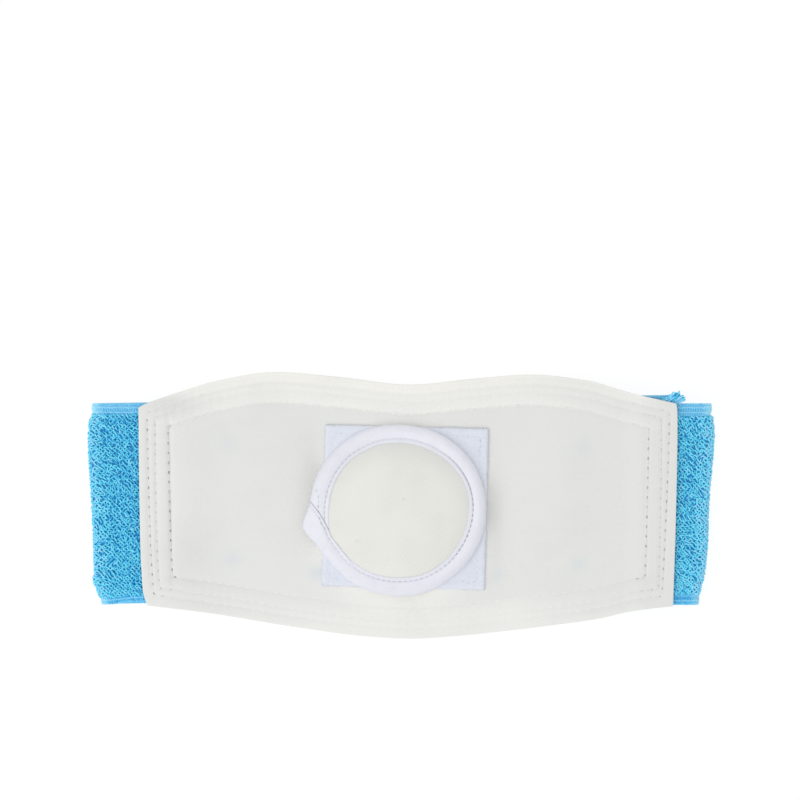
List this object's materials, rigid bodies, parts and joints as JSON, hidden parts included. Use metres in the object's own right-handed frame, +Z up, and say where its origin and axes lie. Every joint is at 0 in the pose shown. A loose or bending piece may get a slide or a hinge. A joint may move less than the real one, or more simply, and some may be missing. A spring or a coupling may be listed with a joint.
{
  "type": "umbilical support strap",
  "caption": "Infant umbilical support strap lying flat: contoured cotton panel with blue terry elastic straps folded behind it and a bound round pad on a loop patch.",
  "frame": {"origin": "on the table under the middle of the lying strap", "axes": "+X along the strap towards its right end as seen from above, +Y towards its upper edge, +Z up, out of the pad's face"},
  "size_m": [0.2504, 0.1064, 0.014],
  "materials": {
    "panel_cotton": "matte white woven cotton",
    "blue_terry": "matte sky-blue terry loops on woven elastic",
    "hook_tape": "satin blue hook tape",
    "loop_cloth": "matte bluish-white brushed loop",
    "pad_hooks": "satin white hook tape",
    "pad_twill": "matte cream cotton twill",
    "binding_tape": "matte bluish-white bias tape"
  },
  "bodies": {
    "root": {"support_panel": "panel_cotton", "strap_left": "blue_terry", "strap_right": "blue_terry", "hook_tab": "hook_tape", "loop_patch": "loop_cloth", "pad_hook_back": "pad_hooks", "pad_cushion": "pad_twill", "pad_binding": "binding_tape"}
  },
  "joints": []
}
